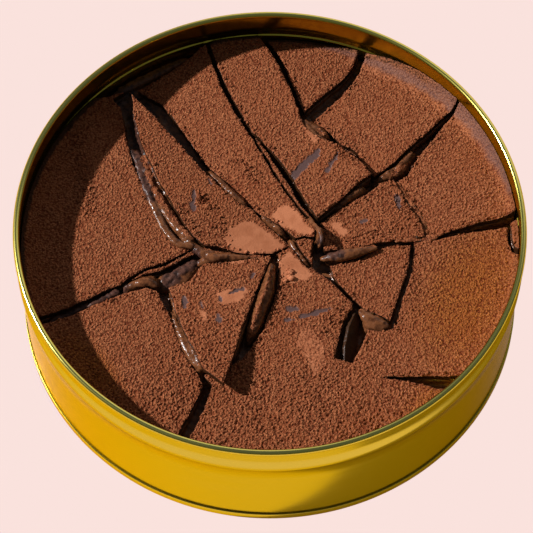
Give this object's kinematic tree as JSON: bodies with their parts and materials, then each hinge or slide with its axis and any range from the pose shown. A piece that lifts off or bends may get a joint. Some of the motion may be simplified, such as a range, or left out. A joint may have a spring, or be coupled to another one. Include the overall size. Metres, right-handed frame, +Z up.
{
  "type": "chocolate cake in a round tin",
  "caption": "Round chocolate cake in its gold-lacquered tin, its cocoa-dusted chocolate shell broken into shards over soft dark cream.",
  "frame": {"origin": "middle of the circle that the tin stands on, at the floor", "axes": "+Z up out of the open tin, +X to the right and +Y away from the viewer as the cake is seen"},
  "size_m": [0.18, 0.18, 0.053],
  "materials": {
    "gold_tinplate": "glossy clear gold lacquer over bright tinplate",
    "cocoa_shell": "matt cocoa powder, grainy, on hard dark chocolate",
    "chocolate_cream": "moist and glossy where it is smooth, dull where it is torn"
  },
  "bodies": {
    "root": {"tin_body": "gold_tinplate", "tin_base": "gold_tinplate", "cake_cream": "chocolate_cream", "shell_west": "cocoa_shell", "shell_west_strip": "cocoa_shell", "shell_spear": "cocoa_shell", "shell_north_west": "cocoa_shell", "shell_sliver": "cocoa_shell", "shell_north": "cocoa_shell", "shell_north_notch": "cocoa_shell", "shell_north_east": "cocoa_shell", "shell_east": "cocoa_shell", "shell_middle_east": "cocoa_shell", "shell_triangle": "cocoa_shell", "shell_south": "cocoa_shell", "shell_south_west": "cocoa_shell", "shell_raised": "cocoa_shell", "shell_middle_bit": "cocoa_shell", "shell_east_chip": "cocoa_shell", "shell_sunken_flake": "cocoa_shell"}
  },
  "joints": []
}
